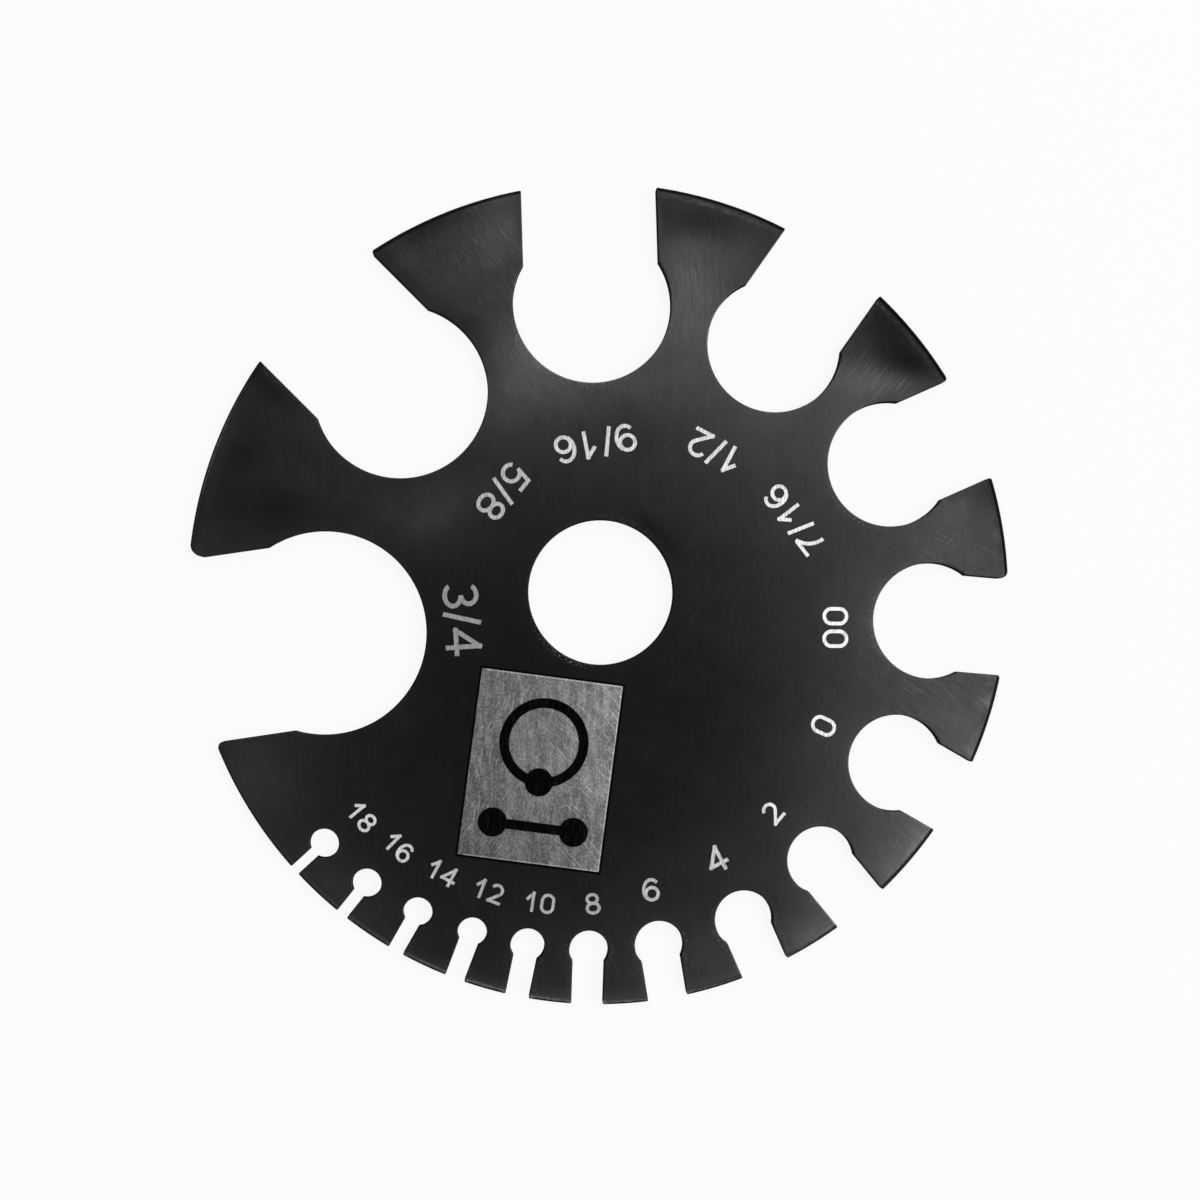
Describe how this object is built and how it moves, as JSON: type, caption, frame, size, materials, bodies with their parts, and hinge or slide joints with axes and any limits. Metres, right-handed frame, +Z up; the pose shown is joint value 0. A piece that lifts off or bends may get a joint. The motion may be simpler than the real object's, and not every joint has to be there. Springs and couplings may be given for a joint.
{
  "type": "piercing gauge wheel",
  "caption": "Flat black steel disc with a centre hole and keyhole notches of growing width round its rim, each engraved with the gauge of jewellery bar that it fits.",
  "frame": {"origin": "on the axis of the centre hole, at the disc's underside", "axes": "+Z up out of the engraved face, +X and +Y to the right and upwards as in the picture, with the 9/16 notch near +Y"},
  "size_m": [0.0846, 0.0846, 0.002],
  "materials": {
    "black_steel": "satin black coat on steel, finely brushed, with faint scratches",
    "bare_steel": "bare brushed steel on the floors of the engraved figures and panel"
  },
  "bodies": {
    "root": {"gauge_disc": "black_steel"}
  },
  "joints": []
}
